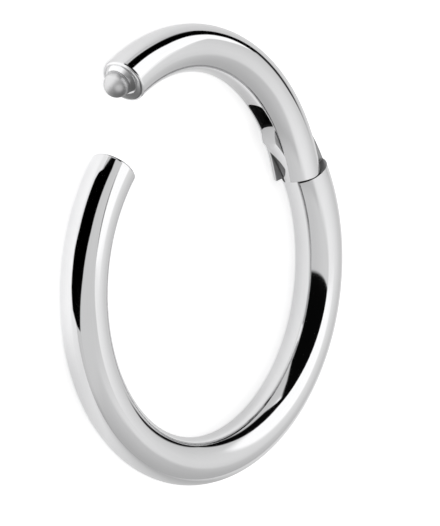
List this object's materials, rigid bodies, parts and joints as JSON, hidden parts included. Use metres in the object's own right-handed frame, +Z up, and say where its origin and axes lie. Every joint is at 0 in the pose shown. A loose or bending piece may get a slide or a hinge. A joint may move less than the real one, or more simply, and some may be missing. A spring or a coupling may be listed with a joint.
{
  "type": "hinged segment ring",
  "caption": "Round wire ring whose hinged segment swings on a pinned tongue and fork and closes with a domed stud into the ring's other end; shown open, lying flat.",
  "frame": {"origin": "middle of the underside of the box of the ring as it lies on its side with the segment open", "axes": "+Z up, along the ring's axis; +Y across the ring, from the body towards the opened segment; +X towards the hinge's side"},
  "size_m": [0.0104, 0.0116, 0.0012],
  "materials": {
    "ring_body": "mirror polished surgical steel",
    "hinged_segment": "mirror polished surgical steel",
    "hinge_pin": "steel, its ends dressed flush and polished"
  },
  "bodies": {
    "ring": {"ring_body": "ring_body"},
    "segment": {"hinged_segment": "hinged_segment", "hinge_pin": "hinge_pin"}
  },
  "joints": [
    {"name": "segment_hinge", "type": "hinge", "parent": "ring", "child": "segment", "pos_m": [0.00338, 0.00256, 0.0006], "axis": [0, 0, -1], "range_deg": [-17.2, 43]}
  ]
}
